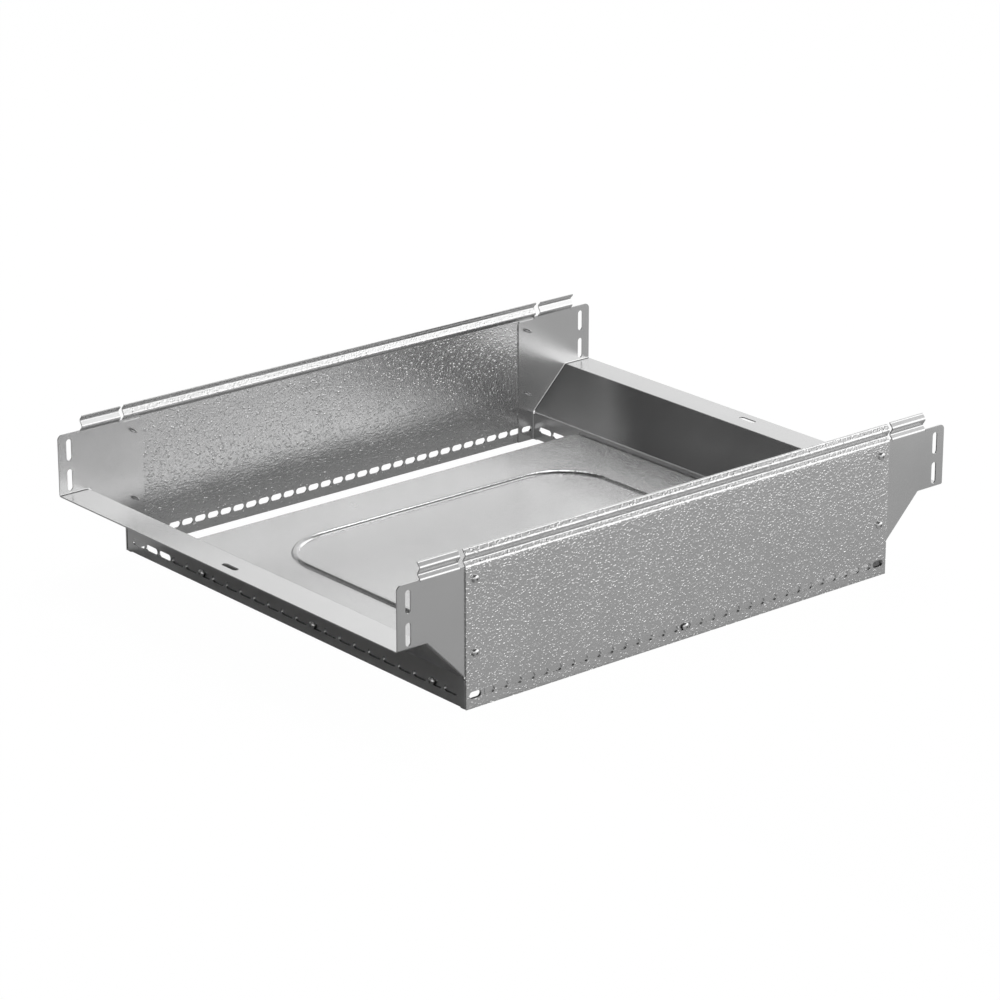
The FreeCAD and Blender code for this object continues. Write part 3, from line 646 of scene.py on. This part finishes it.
class TRAYTEE_OT_screws(bpy.types.Operator):
    """Put the tapping screws on their seats"""
    bl_idname = "tray_tee.screws"
    bl_label = "Make screws"

    def execute(self, context):
        zinc = screw_zinc(context.scene.tray_tee_sheets)
        screws = make_screws(zinc)
        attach(screws, "root")
        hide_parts(*SCREWS)
        return {"FINISHED"}


class TRAYTEE_OT_studio(bpy.types.Operator):
    """Set up the floor, the surroundings, the lamp and the camera"""
    bl_idname = "tray_tee.studio"
    bl_label = "Set up studio"

    def execute(self, context):
        look = context.scene.tray_tee_studio
        lay_floor(LOW.z, look)
        light_surroundings(context.scene, look)
        hang_lamp(look)
        place_camera(context.scene, look)
        context.scene.view_settings.view_transform = "Standard"
        return {"FINISHED"}


def ray_kinds(tree):
    """1 for the camera's rays, for mirrored ones and for those that pass through, each apart."""
    camera, _, _, mirrored, _, _, passed, *_ = tree.add("ShaderNodeLightPath")
    return camera, mirrored, passed


def lay_floor(height, look):
    """Wide floor, white to the camera.

    Mirrored in the zinc it glows fully further out, less beside the tray's box and least under it.
    To the left of the box it mirrors as plain pale matter.
    """
    mesh = bpy.data.meshes.new("studio_floor")
    signs = ((-1, -1), (1, -1), (1, 1), (-1, 1))
    corners = [(x * FLOOR_REACH, y * FLOOR_REACH, height) for x, y in signs]
    mesh.from_pydata(corners, [], [(0, 1, 2, 3)])
    floor = bpy.data.objects.new("studio_floor", mesh)
    bpy.context.scene.collection.objects.link(floor)
    material, tree = new_material("studio_floor")
    place = object_place(tree)
    across, back, _ = split(tree, place)
    distance = tree.add("ShaderNodeVectorMath", {"operation": "LENGTH"}, {0: place})[0]
    far = distance.smooth(0.8, 1.6)
    not_left = across.smooth(-HALF_BOX - 3 * MM, -HALF_BOX + 3 * MM)
    reach_out = across.run("MAXIMUM", abs(across), abs(back))
    beside = reach_out.smooth(HALF_BOX - 2 * MM, HALF_BOX + 6 * MM)
    tone = mix_grey(tree, not_left, FLOOR_MATTE_LEFT, FLOOR_MATTE)
    camera, mirrored, passed = ray_kinds(tree)
    # Painted light: in reflections the floor glows, dimmer near the tray's box and least under it as
    # painted shade of the tray, and not at all to the box's left
    shine = (GLOW_UNDER + far + GLOW_BESIDE * beside).clamp() * not_left
    seen = (camera + passed) * GLOW_SEEN + mirrored * shine
    level = FLOOR_WHITE - mirrored * (FLOOR_WHITE - look.floor_level) * (1.0 - far)
    matte = tree.add("ShaderNodeBsdfDiffuse", None, {"Color": tone})[0]
    glow = tree.add("ShaderNodeEmission", None, {"Color": grey(1.0), "Strength": level})[0]
    surface = tree.add("ShaderNodeMixShader", None, {0: seen.clamp(), 1: matte, 2: glow})[0]
    tree.add("ShaderNodeOutputMaterial", None, {"Surface": surface})
    mesh.materials.append(material)


def lobe(tree, direction, toward, spread):
    """1 toward a point of the sky, falling to 0 at that many degrees from it."""
    aim = Vector(toward).normalized()
    alike = tree.add("ShaderNodeVectorMath", {"operation": "DOT_PRODUCT"}, {0: direction, 1: aim})[0]
    return alike.smooth(math.cos(math.radians(spread)), 1.0)


def light_surroundings(scene, look):
    """White to the camera.

    Mirrored in the zinc there are a white backdrop with a dark corner behind on the left, a dark
    ceiling that is lighter to the right, and a soft box low on the right.
    """
    world = bpy.data.worlds.new("studio")
    world.use_nodes = True
    scene.world = world
    tree = Tree(world.node_tree)
    direction, *_ = tree.add("ShaderNodeTexCoord")
    across, back, up = split(tree, direction)
    camera, mirrored, passed = ray_kinds(tree)

    # Across, back and up are sines of the angles from the middle and the horizon
    backdrop = 1.0 - up.smooth(0.47, 0.59)
    below_ceiling = 1.0 - (up + 0.3 * back).smooth(0.41, 0.68)
    box = across.smooth(0.1, 0.4) * below_ceiling * (1.0 - back.smooth(0.3, 0.65))
    dark_corner = DARK_CORNER_DEPTH * lobe(tree, direction, DARK_CORNER, DARK_CORNER_SPREAD)
    seen = camera + (mirrored + passed) * BACKDROP_WHITE * backdrop * (1.0 - dark_corner)
    ceiling = look.ceiling * (1.0 + CEILING_TILT * across)
    level = ceiling + (1.0 - ceiling) * seen + look.soft_box * box * (1.0 - camera)
    shader = tree.add("ShaderNodeBackground", None, {"Color": grey(1.0), "Strength": level})[0]
    tree.add("ShaderNodeOutputWorld", None, {"Surface": shader})


def hang_lamp(look):
    """Large soft lamp high up behind the tray, aimed at the tray's middle."""
    lamp = bpy.data.lights.new("ceiling_lamp", "AREA")
    lamp.shape = "DISK"
    lamp.size = LAMP_SIZE
    lamp.energy = look.lamp_power
    item = bpy.data.objects.new("ceiling_lamp", lamp)
    item.location = LAMP_PLACE
    item.rotation_euler = (MIDDLE - item.location).to_track_quat("-Z", "Y").to_euler()
    bpy.context.scene.collection.objects.link(item)


def place_camera(scene, look):
    """Camera where the photograph was taken from."""
    data = bpy.data.cameras.new("camera")
    data.lens = look.lens
    data.sensor_width = SENSOR_WIDTH
    data.clip_end = VIEW_LIMIT
    camera = bpy.data.objects.new("camera", data)
    camera.location = look.eye
    camera.rotation_euler = (math.pi / 2 - look.dip, 0, look.turn)
    scene.collection.objects.link(camera)
    scene.camera = camera


class TRAYTEE_PT_panel(bpy.types.Panel):
    """Lists the sizes and greys, and the steps that build the tray tee"""
    bl_label = "Tray tee"
    bl_idname = "TRAYTEE_PT_panel"
    bl_space_type = "VIEW_3D"
    bl_region_type = "UI"
    bl_category = "Tray tee"

    def draw(self, context):
        for group in (context.scene.tray_tee_sheets, context.scene.tray_tee_studio):
            box = self.layout.box()
            for name in type(group).__annotations__:
                box.prop(group, name)
        for step in STEPS:
            self.layout.operator(step.bl_idname)


STEPS = (TRAYTEE_OT_walls, TRAYTEE_OT_plain_sheets, TRAYTEE_OT_screws, TRAYTEE_OT_studio)
CLASSES = (SheetLook, StudioLook, *STEPS, TRAYTEE_PT_panel)


def register():
    for item in CLASSES:
        bpy.utils.register_class(item)
    bpy.types.Scene.tray_tee_sheets = bpy.props.PointerProperty(type=SheetLook)
    bpy.types.Scene.tray_tee_studio = bpy.props.PointerProperty(type=StudioLook)


def unregister():
    del bpy.types.Scene.tray_tee_studio
    del bpy.types.Scene.tray_tee_sheets
    for item in reversed(CLASSES):
        bpy.utils.unregister_class(item)


def main():
    """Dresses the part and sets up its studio."""
    register()
    bpy.ops.tray_tee.walls()
    bpy.ops.tray_tee.plain_sheets()
    bpy.ops.tray_tee.screws()
    bpy.ops.tray_tee.studio()


if __name__ == "__main__":
    main()
